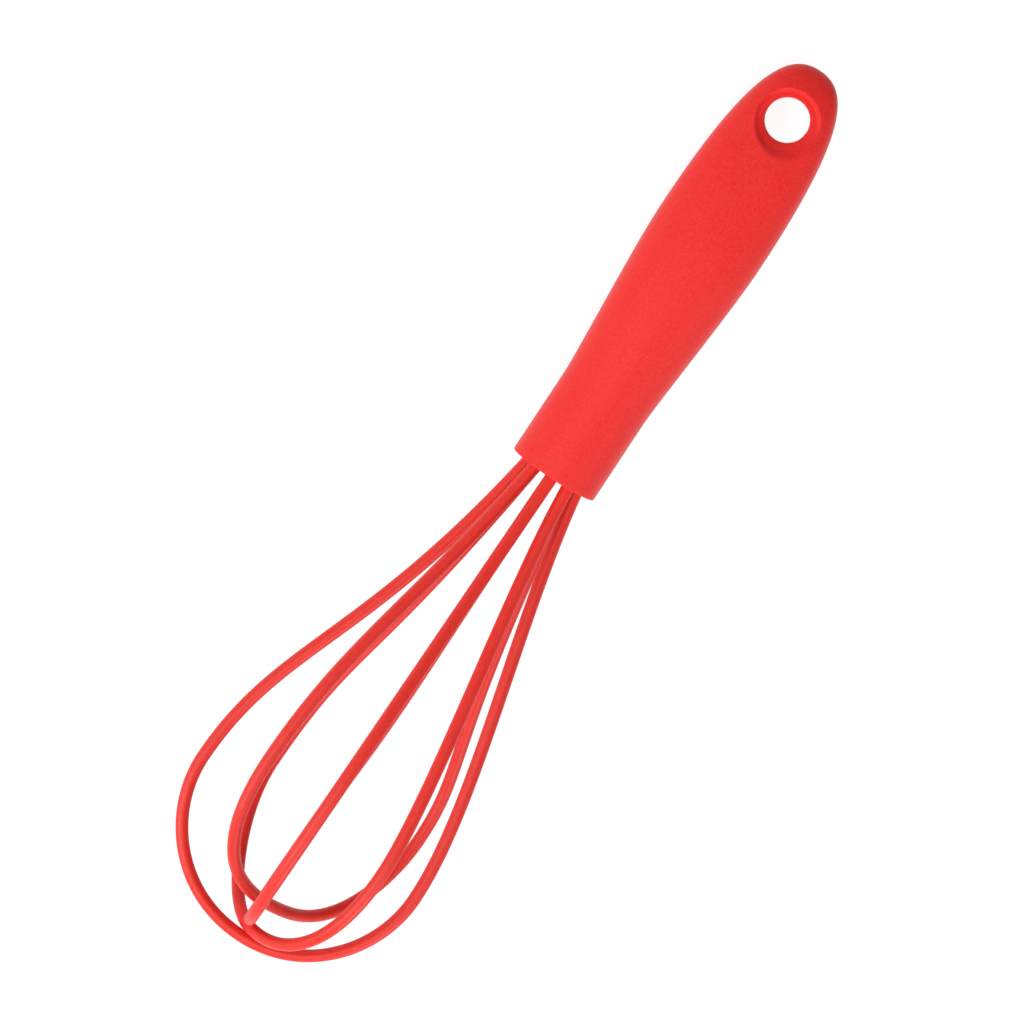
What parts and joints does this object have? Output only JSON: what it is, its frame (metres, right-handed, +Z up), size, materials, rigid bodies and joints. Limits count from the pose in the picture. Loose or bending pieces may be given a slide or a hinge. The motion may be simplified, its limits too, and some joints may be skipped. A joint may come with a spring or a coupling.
{
  "type": "balloon_whisk",
  "caption": "Balloon whisk with silicone-coated spring wire loops, crossing at the tip, set in a soft red moulded handle with a hanging eye",
  "frame": {"origin": "Middle of the bounding box, on the table that the whisk lies on", "axes": "+X is the whisk's length, from the hanging eye to the tip of the wires; +Z is up from the table; +Y is across. The whisk lies at rest on its handle and on two neighbouring strands, so its own axis rises a little from the cage to the mouth"},
  "size_m": [0.2532, 0.0636, 0.0584],
  "materials": {
    "red_silicone": "matte",
    "seal_silicone": "matte",
    "core_plastic": "matte",
    "spring_steel": "satin"
  },
  "bodies": {
    "root": {"handle_grip": "red_silicone", "handle_core": "core_plastic", "wire_plug": "core_plastic", "mouth_seal": "seal_silicone", "steel_wire_1": "spring_steel", "steel_wire_2": "spring_steel", "steel_wire_3": "spring_steel", "steel_wire_4": "spring_steel", "wire_jacket_1": "red_silicone", "wire_jacket_2": "red_silicone", "wire_jacket_3": "red_silicone", "wire_jacket_4": "red_silicone"}
  },
  "joints": []
}
